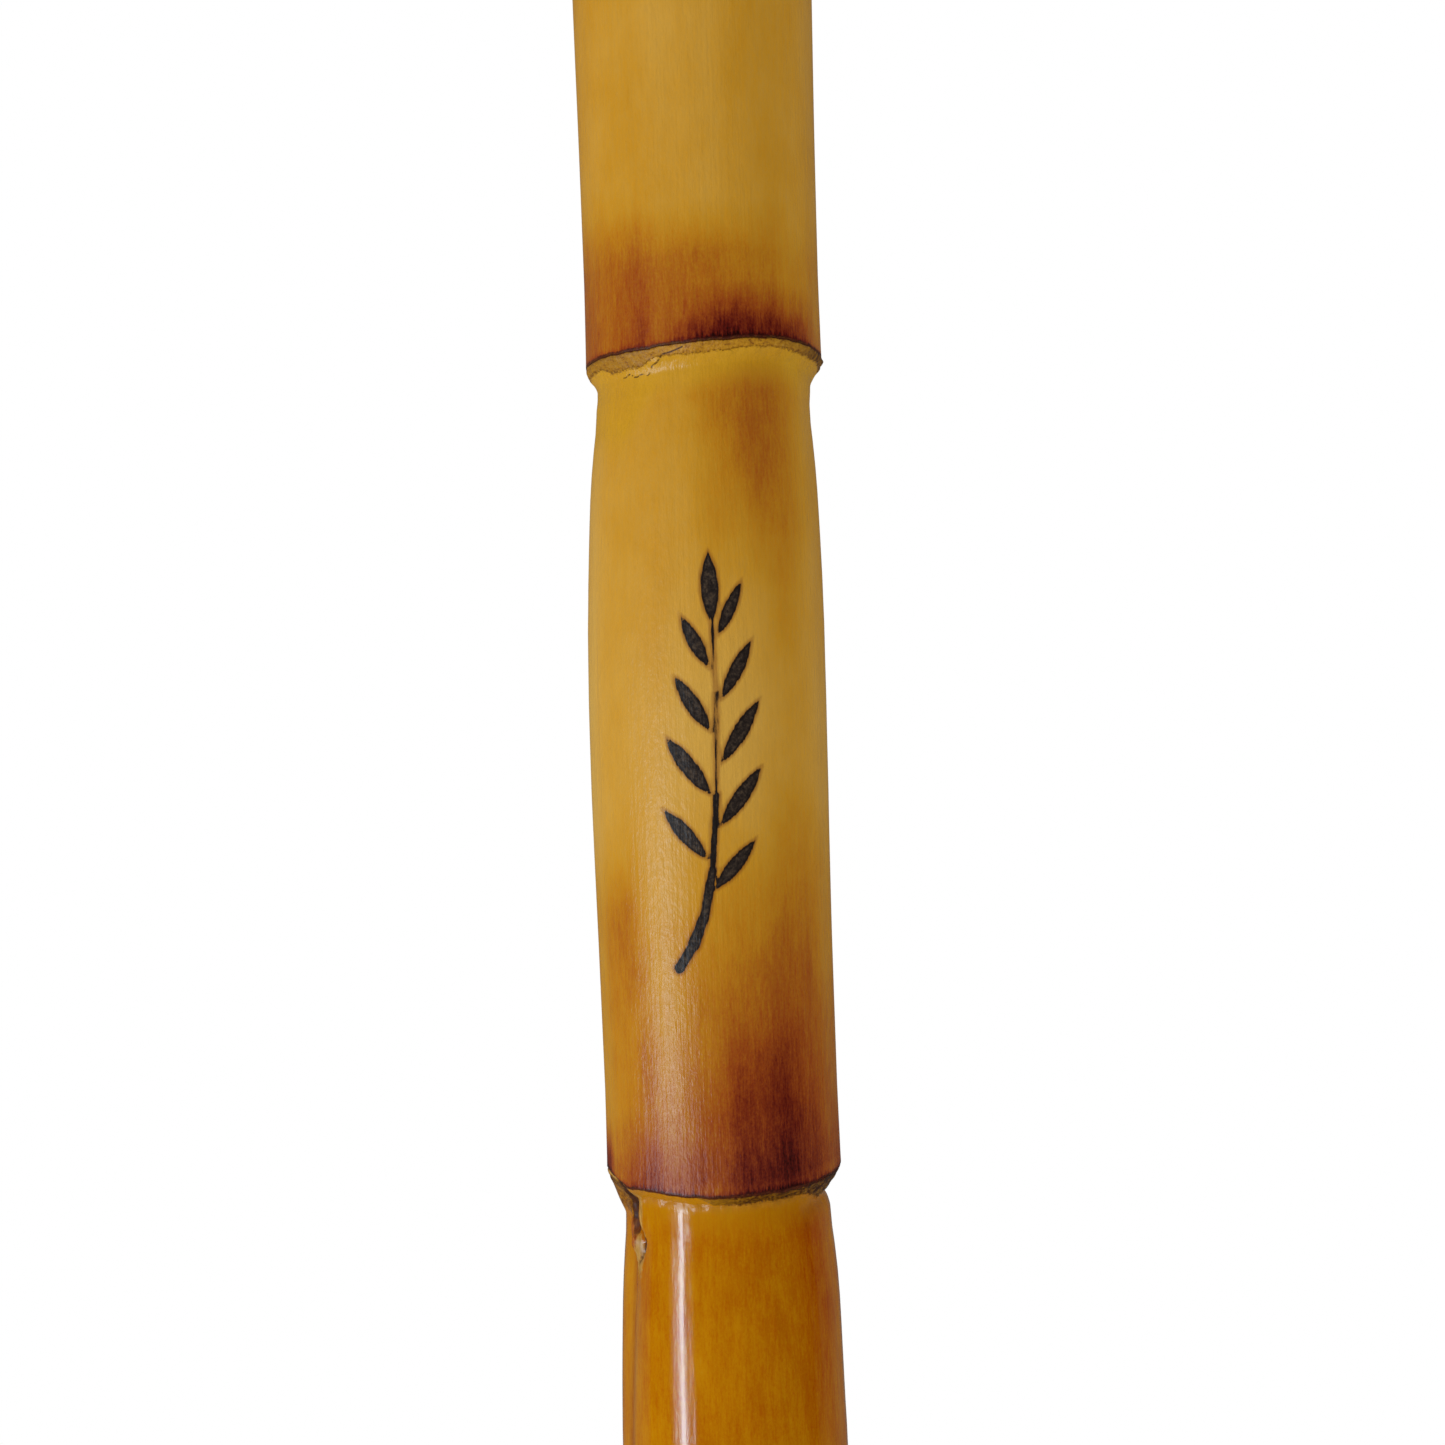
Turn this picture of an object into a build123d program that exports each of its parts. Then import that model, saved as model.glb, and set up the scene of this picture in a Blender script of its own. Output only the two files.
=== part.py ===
"""A ney: an end-blown flute of natural giant reed, with burnt nodes.

The instrument stands on its foot on the origin, with +Z up its bore to the mouthpiece and the
finger holes facing -Y. The reed is used root end up, so each node's sheath scar faces down, each
internode is narrowest just under the node above it, and the buds sit under the nodes, left and
right in turn. The pieces are the reed, a metal ferrule on each end, the turned mouthpiece, and
the thread winding that seals the mouthpiece's tenon in the reed. Units are millimetres.
"""

from build123d import *
import math
import os

# ---------------------------------------------------------------- driving dimensions
INTERNODE_LENGTHS = [75.0, 86.0, 85.0, 84.0, 86.0, 84.85, 85.15, 84.0]  # foot upwards, under each node
THROAT_LENGTH = 48.0  # the short internode above the last node
BELLY_RADII = [11.2, 11.4, 11.55, 11.7, 11.85, 12.0, 12.47, 12.45, 12.3]  # foot upwards
CAVITY_R = 8.0  # the reed's natural hollow, cleaned out
DIAPHRAGM_HOLE_R = 7.0  # each node's wall is opened to this
THROAT_HOLE_R = 5.0  # the top node is opened less, which steadies the upper notes
DIAPHRAGM_THICK = 3.0

# An internode's outline: (distance under the node above, share of the belly radius).
WAIST = (5.0, 0.889)
UPPER_OUTLINE = [(10.4, 0.928), (18.0, 0.966), (28.0, 0.995)]
BELLY_SHARE_OF_LENGTH = 0.50
LOWER_OUTLINE = [(24.0, 0.989), (8.0, 0.983)]  # (distance above the node below, share)
LIP_SHARE = 0.991  # the sheath scar's rim
LIP_HEIGHT = 1.2
SCAR_FOOT = (3.2, 0.897)  # where the scar's sloping face meets the internode under it
SCAR_RIM_DROP = 0.5

FERRULE_SKIN = 0.6  # metal thickness
UPPER_FERRULE_LENGTH = 20.0
LOWER_FERRULE_LENGTH = 14.0
UPPER_SEAT_R = 11.85  # the reed's ends are turned down to these for the ferrules
LOWER_SEAT_R = 10.8
BEAD_R = 0.55
BEAD_INSET = 2.2  # from a ferrule's edge to its bead

SOCKET_R = 8.8  # reamed in the reed's top end for the tenon
SOCKET_DEPTH = 16.0
TENON_LENGTH = 14.0
TENON_R = 8.0
TENON_COLLAR_R = 8.5
TENON_COLLAR_LENGTH = 2.0
WINDING_FIT = 0.05  # radial play of the winding on the tenon and in the socket
WINDING_END_PLAY = 0.1
SHOULDER_GAP = 0.2  # the winding grips before the mouthpiece's shoulder lands on the ferrule
MOUTHPIECE_HEIGHT = 36.0
MOUTHPIECE_BASE_R = 12.2
MOUTHPIECE_RIM_R = 17.4
MOUTHPIECE_BORE_R = 6.6

FINGER_HOLE_R = 4.7
SPEAKING_PARTS = 26  # holes fall on twenty-sixths of the sounding length
FINGER_HOLE_PARTS = [4, 5, 6, 8, 9, 10]  # from the foot, on the front
THUMB_HOLE_PART = 13  # on the back

BUD_SIDE_ANGLE = 75.0  # degrees from the front to each bud, to the left and right in turn
BUD_LENGTH = 7.0
BUD_WIDTH = 2.6
GROOVE_TOOL_R = 5.0  # the groove over each bud is this round
GROOVE_DEPTH = 0.9  # at its bud
GROOVE_LENGTH = 46.0

# ---------------------------------------------------------------- heights that follow
NODES = []
for length in INTERNODE_LENGTHS:
    below = NODES[-1] if NODES else 0.0
    NODES.append(below + length)
REED_TOP = NODES[-1] + THROAT_LENGTH
SHOULDER = REED_TOP + SHOULDER_GAP
OVERALL = SHOULDER + MOUTHPIECE_HEIGHT


def outline(points):
    """A closed face in the XZ plane from (radius, height) corners."""
    corners = [Vector(r, 0, z) for r, z in points]
    edges = [Line(a, b) for a, b in zip(corners, corners[1:] + corners[:1])]
    return make_face(edges)


def turned(face):
    """The face turned about the bore's axis."""
    return revolve(face, Axis.Z, 360)


def node_edges(z, under, above):
    """The outline's edges over one node, upwards: the scar's slope, its rim and its lip."""
    scar_foot = Vector(SCAR_FOOT[1] * under, 0, z - SCAR_FOOT[0])
    rim_under = Vector(LIP_SHARE * above - SCAR_RIM_DROP, 0, z - SCAR_RIM_DROP)
    rim = Vector(LIP_SHARE * above, 0, z)
    lip_top = Vector(LIP_SHARE * above, 0, z + LIP_HEIGHT)
    waist = Vector(WAIST[1] * under, 0, z - WAIST[0])
    return [Line(waist, scar_foot), Line(scar_foot, rim_under), Line(rim_under, rim), Line(rim, lip_top)]


def internode_points(index, low, high):
    """Points up one internode's side, from just over the lip below it to the waist at its top."""
    belly = BELLY_RADII[index]
    points = [Vector(share * belly, 0, low + up) for up, share in reversed(LOWER_OUTLINE)]
    points.append(Vector(belly, 0, low + BELLY_SHARE_OF_LENGTH * (high - low)))
    points += [Vector(share * belly, 0, high - down) for down, share in reversed(UPPER_OUTLINE)]
    points.append(Vector(WAIST[1] * belly, 0, high - WAIST[0]))
    return points


def outer_edges():
    """The reed's outside and its two ends, from the axis at the foot to the axis at the top."""
    seat_low = Vector(LOWER_SEAT_R, 0, 0)
    seat_low_end = Vector(LOWER_SEAT_R, 0, LOWER_FERRULE_LENGTH)
    edges = [Line(Vector(0, 0, 0), seat_low), Line(seat_low, seat_low_end)]
    foot_shoulder = Vector(LOWER_OUTLINE[1][1] * BELLY_RADII[0], 0, LOWER_FERRULE_LENGTH)
    edges.append(Line(seat_low_end, foot_shoulder))
    start = foot_shoulder
    for index, node in enumerate(NODES):
        low = NODES[index - 1] if index else 0.0
        side = [p for p in internode_points(index, low, node) if p.Z > start.Z + 1.0]
        edges.append(Spline([start] + side))
        edges += node_edges(node, BELLY_RADII[index], BELLY_RADII[index + 1])
        start = Vector(LIP_SHARE * BELLY_RADII[index + 1], 0, node + LIP_HEIGHT)
    seat_start = REED_TOP - UPPER_FERRULE_LENGTH
    throat = Vector(BELLY_RADII[-1], 0, seat_start)
    seat_high = Vector(UPPER_SEAT_R, 0, seat_start)
    edges.append(Line(start, throat))
    edges.append(Line(throat, seat_high))
    top = Vector(UPPER_SEAT_R, 0, REED_TOP)
    edges += [Line(seat_high, top), Line(top, Vector(0, 0, REED_TOP))]
    edges.append(Line(Vector(0, 0, REED_TOP), Vector(0, 0, 0)))
    return edges


def make_bore():
    """The reed's inside: the hollow of every internode, the opened nodes and the tenon's socket."""
    corners = [(0, 0), (0, REED_TOP), (SOCKET_R, REED_TOP), (SOCKET_R, REED_TOP - SOCKET_DEPTH)]
    corners.append((CAVITY_R, REED_TOP - SOCKET_DEPTH))
    for node in reversed(NODES):
        hole = THROAT_HOLE_R if node == NODES[-1] else DIAPHRAGM_HOLE_R
        top, bottom = node + DIAPHRAGM_THICK / 2, node - DIAPHRAGM_THICK / 2
        corners += [(CAVITY_R, top), (hole, top), (hole, bottom), (CAVITY_R, bottom)]
    corners.append((CAVITY_R, 0))
    return turned(outline(corners))


def bud_direction(index):
    """Unit vector out to the bud under a node. Buds change sides from node to node."""
    side = 1 if index % 2 else -1
    angle = math.radians(BUD_SIDE_ANGLE)
    return Vector(-math.sin(angle), -math.cos(angle), 0) * side


def bud_groove(index):
    """Cutter for the shallow furrow that runs down the internode from a bud."""
    node = NODES[index]
    out = bud_direction(index)
    waist_r = WAIST[1] * BELLY_RADII[index]
    fade_r = BELLY_RADII[index]
    deep = out * (waist_r - GROOVE_DEPTH + GROOVE_TOOL_R) + Vector(0, 0, node - WAIST[0])
    fade = out * (fade_r + GROOVE_TOOL_R) + Vector(0, 0, node - GROOVE_LENGTH)
    top = deep + (deep - fade) * (WAIST[0] - SCAR_FOOT[0]) / (GROOVE_LENGTH - WAIST[0])
    path = fade - top
    return Plane(origin=top, z_dir=path) * Cylinder(
        GROOVE_TOOL_R, path.length, align=(Align.CENTER, Align.CENTER, Align.MIN)
    )


def bud(index):
    """The dried bud: a slim spindle lying in the head of its groove."""
    half = BUD_LENGTH / 2
    arc = ThreePointArc(Vector(0, 0, -half), Vector(BUD_WIDTH / 2, 0, 0), Vector(0, 0, half))
    spindle = revolve(make_face([arc, Line(arc @ 1, arc @ 0)]), Axis.Z, 360)
    out = bud_direction(index)
    sunk = WAIST[1] * BELLY_RADII[index] - GROOVE_DEPTH
    centre = out * sunk + Vector(0, 0, NODES[index] - SCAR_FOOT[0] - half)
    return Pos(*centre) * spindle


def hole_cutter(part, front):
    """A radial cutter through one wall at a twenty-sixth of the sounding length."""
    height = part * OVERALL / SPEAKING_PARTS
    reach = max(BELLY_RADII) + 2.0
    outward = (0, -1, 0) if front else (0, 1, 0)
    return Plane(origin=(0, 0, height), z_dir=outward) * Cylinder(
        FINGER_HOLE_R, reach, align=(Align.CENTER, Align.CENTER, Align.MIN)
    )


def make_reed():
    reed = turned(make_face(outer_edges()))
    reed -= [bud_groove(index) for index in range(len(NODES))]
    reed += [bud(index) for index in range(len(NODES))]
    reed -= make_bore()
    reed -= [hole_cutter(part, True) for part in FINGER_HOLE_PARTS]
    reed -= hole_cutter(THUMB_HOLE_PART, False)
    return reed


def ferrule(seat_r, low, high):
    """A thin metal sleeve with eased edges and a raised bead near each end."""
    outer = seat_r + FERRULE_SKIN
    sleeve = turned(outline([(seat_r, low), (outer, low), (outer, high), (seat_r, high)]))
    rims = sleeve.edges().filter_by(lambda e: e.geom_type == GeomType.CIRCLE and e.radius > outer - 0.01)
    sleeve = fillet(rims, FERRULE_SKIN / 2)
    for height in (low + BEAD_INSET, high - BEAD_INSET):
        sleeve += Pos(0, 0, height) * Torus(outer, BEAD_R)
    return sleeve


def make_upper_ferrule():
    return ferrule(UPPER_SEAT_R, REED_TOP - UPPER_FERRULE_LENGTH, REED_TOP)


def make_lower_ferrule():
    return ferrule(LOWER_SEAT_R, 0.0, LOWER_FERRULE_LENGTH)


def make_mouthpiece():
    """A flared cup with a bevelled lip, a bowl that narrows to the bore, and a collared tenon."""

    def at(r, up):
        return Vector(r, 0, SHOULDER + up)

    base, rim = MOUTHPIECE_BASE_R, MOUTHPIECE_RIM_R
    lip = MOUTHPIECE_HEIGHT
    flare = Spline([at(base, 5.0), at(base + 0.5, 11.0), at(base + 2.2, 20.0), at(rim - 0.6, 29.0)])
    bead_low = ThreePointArc(at(base, 0.6), at(base + 0.6, 1.7), at(base, 2.8))
    bead_high = ThreePointArc(at(rim - 0.6, 29.0), at(rim + 0.1, 30.4), at(rim - 0.6, 31.8))
    edges = [
        Line(at(TENON_COLLAR_R, 0), at(base, 0)),
        Line(at(base, 0), at(base, 0.6)),
        bead_low,
        Line(at(base, 2.8), at(base - 0.5, 3.3)),
        Line(at(base - 0.5, 3.3), at(base - 0.5, 4.5)),
        Line(at(base - 0.5, 4.5), at(base, 5.0)),
        flare,
        bead_high,
        Line(at(rim - 0.6, 31.8), at(rim - 2.9, lip - 0.7)),
        ThreePointArc(at(rim - 2.9, lip - 0.7), at(rim - 3.5, lip), at(rim - 4.1, lip - 0.7)),
        Spline(
            [at(rim - 4.1, lip - 0.7), at(11.4, 28.0), at(8.6, 19.0), at(MOUTHPIECE_BORE_R, 11.0)],
            tangents=[(-0.35, 0, -1), (0, 0, -1)],
        ),
        Line(at(MOUTHPIECE_BORE_R, 11.0), at(MOUTHPIECE_BORE_R, -TENON_LENGTH)),
    ]
    collar = TENON_COLLAR_LENGTH
    tenon = [
        at(MOUTHPIECE_BORE_R, -TENON_LENGTH),
        at(TENON_COLLAR_R, -TENON_LENGTH),
        at(TENON_COLLAR_R, -TENON_LENGTH + collar),
        at(TENON_R, -TENON_LENGTH + collar),
        at(TENON_R, -collar),
        at(TENON_COLLAR_R, -collar),
        at(TENON_COLLAR_R, 0),
    ]
    edges += [Line(a, b) for a, b in zip(tenon, tenon[1:])]
    return turned(make_face(edges))


def make_tenon_winding():
    low = SHOULDER - TENON_LENGTH + TENON_COLLAR_LENGTH + WINDING_END_PLAY
    high = SHOULDER - TENON_COLLAR_LENGTH - WINDING_END_PLAY
    inside = TENON_R + WINDING_FIT
    outside = SOCKET_R - WINDING_FIT
    return turned(outline([(inside, low), (outside, low), (outside, high), (inside, high)]))


PIECES = {
    "reed": make_reed,
    "upper_ferrule": make_upper_ferrule,
    "lower_ferrule": make_lower_ferrule,
    "mouthpiece": make_mouthpiece,
    "tenon_winding": make_tenon_winding,
}

os.makedirs("parts", exist_ok=True)
for name, make in PIECES.items():
    export_step(make(), f"parts/{name}.step")
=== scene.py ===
"""The looks of a ney: an end-blown flute of varnished, flame-toasted giant reed.

The reed is built here as one mesh with its natural unevenness, sheath scars, buds and burnt
holes, and stands for the plain CAD reed. The ferrules and the mouthpiece keep their CAD shape
and get finished materials. The winding on the tenon becomes real turns of thread.
Lengths below are millimetres and angles degrees unless a name says otherwise. Around the reed,
angle 0 is the front (-Y) and angles grow towards +X.
"""

from math import ceil, cos, pi, radians, sin, sqrt

import bpy
import numpy as np
from mathutils import Matrix, Vector


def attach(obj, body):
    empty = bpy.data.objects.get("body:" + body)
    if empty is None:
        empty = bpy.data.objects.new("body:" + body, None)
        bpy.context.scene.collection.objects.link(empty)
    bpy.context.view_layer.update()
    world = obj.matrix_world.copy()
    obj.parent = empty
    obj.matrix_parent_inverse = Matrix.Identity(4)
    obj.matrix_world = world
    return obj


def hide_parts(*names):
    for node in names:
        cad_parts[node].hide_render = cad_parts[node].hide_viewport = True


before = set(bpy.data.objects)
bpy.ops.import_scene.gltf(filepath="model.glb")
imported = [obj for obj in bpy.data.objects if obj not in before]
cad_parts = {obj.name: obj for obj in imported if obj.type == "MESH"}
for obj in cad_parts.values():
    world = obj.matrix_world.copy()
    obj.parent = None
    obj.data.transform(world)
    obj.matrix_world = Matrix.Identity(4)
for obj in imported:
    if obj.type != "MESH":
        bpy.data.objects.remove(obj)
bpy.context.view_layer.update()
scene = bpy.context.scene

MM = 0.001
SEED = 7

# ---------------------------------------------------------------- the reed's driving dimensions
INTERNODE_LENGTHS = [75.0, 86.0, 85.0, 84.0, 86.0, 84.85, 85.15, 84.0]
NODES = list(np.cumsum(INTERNODE_LENGTHS).astype(float))
THROAT_LENGTH = 48.0
REED_TOP = NODES[-1] + THROAT_LENGTH
SHOULDER_GAP = 0.2
MOUTHPIECE_HEIGHT = 36.0
OVERALL = REED_TOP + SHOULDER_GAP + MOUTHPIECE_HEIGHT
LEVELS = [0.0] + NODES + [REED_TOP]  # what bounds the internodes, from the foot up
BELLY_RADII = [11.2, 11.4, 11.55, 11.7, 11.85, 12.0, 12.47, 12.45, 12.3]
CAVITY_R = 8.0
NODE_HOLE_R = 7.0
THROAT_HOLE_R = 5.0
NODE_WALL = 3.0
NODE_EDGE = 0.3  # how far a node wall's opening is eased
SOCKET_R = 8.8
SOCKET_DEPTH = 16.0
LOWER_SEAT = (14.0, 10.8)  # height, radius
UPPER_SEAT = (REED_TOP - 20.0, 11.85)
ON_SEAT = 0.005  # half the gap between the two rows of points at a seat's edge
FINGER_HOLE_R = 4.7
HOLE_START = 4.0  # distance from the axis at which a finger hole's cutter begins
HOLE_MOUTH = [(0.0, 1.0), (0.12, 0.55), (0.35, 0.15), (0.7, -0.4)]  # wider by, depth under the skin
HOLE_PARTS = [(4, 0), (5, 0), (6, 0), (8, 0), (9, 0), (10, 0), (13, 180)]  # 26ths, angle
SPEAKING_PARTS = 26

# Each node's own habit: lean of its ring (height gained from left to right edge), height gained
# at its front, height gained at its two sides, and how far the scar slants in below the rim
# (0 a rolled edge with a shoulder, 1 a straight slope).
NODE_TILTS = [0.3, -0.5, 0.4, -0.2, 0.5, 0.0, 0.58, -0.4]
NODE_FRONTS = [0.2, -0.3, 0.3, -0.2, 0.1, 0.0, 0.76, -0.3]
NODE_SADDLES = [0.0, 0.2, 0.0, 0.3, 0.0, 0.6, 0.0, 0.1]
SCAR_SLANTS = [0.2, 0.7, 0.4, 0.9, 0.1, 1.0, 0.0, 0.6]
WAIST_SHARE = 0.893
BUD_SIDE_ANGLE = 68.0
FURROW_REACH = 48.0  # how far under its rim a bud's furrow can run
CLOSE_UP_NODES = (5, 6)  # the two nodes that carry the finest mesh
SHARP_BEND = 38.0  # a bend past this many degrees is shaded as an edge

# The natural bow: (sideways, forwards) of each internode's middle, and how far each node strays.
BOWS = [(0.2, -0.1), (-0.3, 0.2), (0.25, 0.1), (0.3, -0.25), (-0.25, -0.2),
        (0.1, 0.2), (-0.60, 0.0), (-0.1, 0.15), (0.1, 0.0)]
NODE_STRAYS = [0.0, 0.1, -0.15, 0.2, -0.1, -0.38, 0.0, 0.1]

# Around a bud, in millimetres: across towards the front of the reed, and down from the rim.
CREVICE = [(0.9, 0.7), (1.3, 1.6), (1.2, 2.9), (0.9, 4.4), (1.2, 5.3)]
FLAKE_EDGE = [(2.3, 5.0), (2.85, 5.8), (2.35, 7.7), (1.1, 9.2)]
BUD_CENTRE = (0.5, 6.0)
FLAKE_CENTRE = (1.6, 7.6)
RIDGE_GAP = 1.6  # how far beside the crevice its lifted edge runs

SKIN_R = 11.6  # turns angles into distances over the skin
BUD_SKIN_R = 11.0  # the same at the slimmer waist, where the buds are
MOTIF_SKIN_R = 12.3  # and on the internode with the motif
MOTIF_LOW, MOTIF_HIGH = 523.0, 567.0

# ---------------------------------------------------------------- the fittings' driving dimensions
WINDING_LOW, WINDING_HIGH = REED_TOP - 11.7, REED_TOP - 1.9
WINDING_MIDDLE_R = 8.4
THREAD_R = 0.35
THREAD_GAP = 0.01  # left free above and below the winding
THREAD_TURNS = 13
THREAD_SIDES = 12
PLY_TWIST = 1.7  # length of thread in which its two plies turn once about each other
RINGS_PER_TWIST = 9
FERRULE_R = {"upper_ferrule": 12.45, "lower_ferrule": 11.4}
BEADS = {"upper_ferrule": (REED_TOP - 17.8, REED_TOP - 2.2), "lower_ferrule": (2.2, 11.8)}
MOUTH_LOW = REED_TOP + SHOULDER_GAP

# ---------------------------------------------------------------- the studio's driving values
FLOOR_R, FLOOR_THICKNESS = 1200.0, 4.0
CAMERA_PLACE = (0.86, -227.0, 553.5)
CAMERA_TARGET = (0.86, 0.0, 548.2)
CAMERA_ROLL = 1.69
CAMERA_LENS = 53.8
GLOSS_FRONT, GLOSS_REAR = 0.0, 0.12  # how bright the room reflects, before and behind the reed
AMBIENT_LEFT, AMBIENT_RIGHT = 0.70, 0.62  # soft light from each side


# ---------------------------------------------------------------- numeric helpers
def smooth(a, b, x):
    """0 below a, 1 above b, smooth between. a may be above b for a falling step."""
    t = np.clip((x - a) / (b - a), 0.0, 1.0)
    return t * t * (3 - 2 * t)


def hump(x, width):
    """1 where x is 0, falling smoothly to 0 over about twice the width either side."""
    return np.exp(-(x / width) ** 2)


def ripple(theta, z, seed, turns, height, count=12):
    """Seeded smooth noise of about unit size on the reed's skin, seamless around it.

    turns is the most waves around the reed, and height the shortest wave along it.
    """
    rng = np.random.default_rng(seed)
    total = np.zeros(np.broadcast(theta, z).shape)
    for _ in range(count):
        waves = rng.integers(0, turns + 1)
        slope = rng.uniform(-2 * pi, 2 * pi) / height
        total += np.cos(waves * theta + slope * z + rng.uniform(0, 2 * pi))
    return total / sqrt(count / 2)


def around(theta, centre_degrees):
    """Signed angle in degrees from a direction, between -180 and 180."""
    return (np.degrees(theta) - centre_degrees + 180.0) % 360.0 - 180.0


def ring(radius, angle, height):
    """Points about the reed's axis, at angles in radians from +X."""
    height = np.broadcast_to(height, np.shape(angle))
    return np.stack([radius * np.cos(angle), radius * np.sin(angle), height], -1)


def segment_distance(x, y, a, b):
    """Distance from points to a straight stroke, and how far along it they are (0 to 1)."""
    ax, ay = a
    dx, dy = b[0] - ax, b[1] - ay
    share = np.clip(((x - ax) * dx + (y - ay) * dy) / (dx * dx + dy * dy), 0, 1)
    return np.hypot(x - ax - share * dx, y - ay - share * dy), share


# ---------------------------------------------------------------- the reed's shape
def bud_angle(index):
    return -BUD_SIDE_ANGLE if index % 2 else 180.0 - BUD_SIDE_ANGLE


def bud_across(theta, index):
    """Distance over the skin from the middle of a node's bud, growing towards the front."""
    towards_front = 1.0 if index % 2 else -1.0
    return towards_front * np.radians(around(theta, bud_angle(index))) * BUD_SKIN_R


def lip_shift(theta, index):
    """How far a node's rim stands above its nominal height, all round."""
    lean = NODE_TILTS[index] / 2 * np.sin(theta)
    front = NODE_FRONTS[index] * (np.cos(theta) - 0.34)
    saddle = NODE_SADDLES[index] * (np.sin(theta) ** 2 + 0.33)
    across = bud_across(theta, index)
    peak = 0.5 * hump(across + 1.5, 1.8) - 0.25 * hump(across - 3.0, 1.2)
    wave = 0.07 * ripple(theta, 0.0, SEED + 10 + index, 5, 1.0)
    if index == 6:
        wave = 0.38 * hump(around(theta, 38), 26) - 0.2 * hump(around(theta, -27), 18)
    fine = 0.035 * ripple(theta, 0.0, SEED + 30 + index, 40, 1.0)
    return lean + front + saddle + peak + wave + fine


def row_heights():
    """Nominal heights of the outer mesh rows: close together at nodes and under the motif."""
    rows = {0.0, LOWER_SEAT[0], LOWER_SEAT[0] + 2 * ON_SEAT}
    rows |= {UPPER_SEAT[0] - 2 * ON_SEAT, UPPER_SEAT[0], REED_TOP}
    for index, node in enumerate(NODES):
        step = 0.2 if index in CLOSE_UP_NODES else 0.4
        rows |= set(node - np.arange(step, 9.0, step))
        rows |= set(node - np.arange(step / 2, 1.6, step))
        rows |= set(node + np.arange(0.4, 1.8, 0.4))
        rows |= {node, node - 0.1, node + 0.1, node + 3.0}
    rows |= set(np.arange(MOTIF_LOW, MOTIF_HIGH, 0.26))
    rows = sorted(rows)
    filled = [rows[0]]
    for height in rows[1:]:
        gap = height - filled[-1]
        pieces = int(ceil(gap / 2.8))
        filled += list(filled[-1] + gap * (np.arange(pieces) + 1) / pieces)
    return np.array(filled)


def columns():
    """Angles of the mesh columns: fine over the front and the sides, coarser behind."""
    front = np.arange(-96.0, 96.0, 1.6)
    back = np.linspace(96.0, 264.0, 43)[:-1]
    return np.radians(np.concatenate([front, back]))


def internode_of(z):
    return np.searchsorted(np.array(NODES), z, side="left")


def profile(z):
    """The plain radius at a nominal height, before any natural unevenness."""
    index = internode_of(z)
    belly = np.array(BELLY_RADII)[index]
    low = np.array([0.0] + NODES)[index]
    high = np.array(NODES + [REED_TOP + 30.0])[index]
    below = high - z
    above = z - low
    top_share = np.interp(
        below,
        [0.0, 3.4, 5.0, 7.0, 10.4, 14.0, 18.0, 23.0, 28.0, 36.0],
        [WAIST_SHARE, WAIST_SHARE, 0.889, 0.898, 0.928, 0.949, 0.966, 0.983, 0.994, 1.0],
    )
    bottom_share = np.interp(above, [0.0, 1.0, 8.0, 24.0, 40.0], [0.991, 0.989, 0.983, 0.989, 1.0])
    radius = belly * top_share * bottom_share
    radius = np.where(z < LOWER_SEAT[0] + ON_SEAT, LOWER_SEAT[1], radius)
    return np.where(z > UPPER_SEAT[0] - ON_SEAT, UPPER_SEAT[1], radius)


def lip_radius(index):
    return 0.991 * BELLY_RADII[index + 1]


def scar_step(theta, u, index):
    """Share of the step out from the waist to the rim, at a distance under the rim."""
    thick = sector(theta, 20, 150, 20)
    rolled = smooth(2.6 - 0.1 * thick, 0.2 * thick, u)
    across = bud_across(theta, index)
    over_bud = smooth(-0.5, -3.0, across) * smooth(-9.0, -6.0, across)
    undercut = smooth(1.4, 2.8, across) * smooth(25.0, 20.0, across)
    reach = 2.6 + 2.0 * over_bud - 1.5 * undercut
    slanted = np.clip(1.0 - (u - 0.1) / reach, 0, 1)
    slant = SCAR_SLANTS[index]
    return rolled * (1 - slant) + slanted * slant


def skin_radius(theta, z):
    """The reed's outside radius with growth ridges, ovality, scars, bud hollows and buds."""
    radius = profile(z)
    on_skin = (z > LOWER_SEAT[0] + ON_SEAT) & (z < UPPER_SEAT[0] - ON_SEAT)
    uneven = 0.035 * ripple(theta, z, SEED + 1, 3, 60.0)
    uneven += 0.014 * ripple(theta, z, SEED + 2, 22, 260.0, 24)
    uneven += 0.006 * ripple(theta, z, SEED + 3, 60, 400.0, 24)
    for k, node in enumerate(NODES):
        u = node - z
        near = (u > -0.001) & (u < FURROW_REACH)
        slant = SCAR_SLANTS[k]
        step_out = (lip_radius(k) - WAIST_SHARE * BELLY_RADII[k]) * scar_step(theta, u, k)
        arch = np.sin(pi * np.clip(u / 1.2, 0, 1))
        bead = 0.12 * (1 - slant) * sector(theta, 20, 150, 30) * arch
        groove = 0.13 * hump(u - 0.1, 0.07)
        notch = 0.40 * slant * hump(u - 3.0, 0.5) * sector(theta, 55, 130, 20)
        away = smooth(14.0, 30.0, np.abs(bud_across(theta, k)))
        full = (0.18 + 0.20 * slant) * away * smooth(3.2, 5.0, u) * smooth(26.0, 8.0, u)
        scar = smooth(0.15, 0.4, u) * smooth(2.2, 1.4, u)
        rough = 0.05 * ripple(theta, z, SEED + 50 + k, 60, 1.0, 30)
        change = step_out + bead + full - groove - notch + scar * rough + bud_relief(theta, u, k)
        radius += np.where(near, change, 0.0)
    return np.where(on_skin, radius + uneven, radius)


def path_distance(x, y, points):
    """Distance from each (x, y) to a line through points."""
    distance = np.full(np.broadcast(x, y).shape, 9.0)
    for a, b in zip(points, points[1:]):
        distance = np.minimum(distance, segment_distance(x, y, a, b)[0])
    return distance


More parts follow.
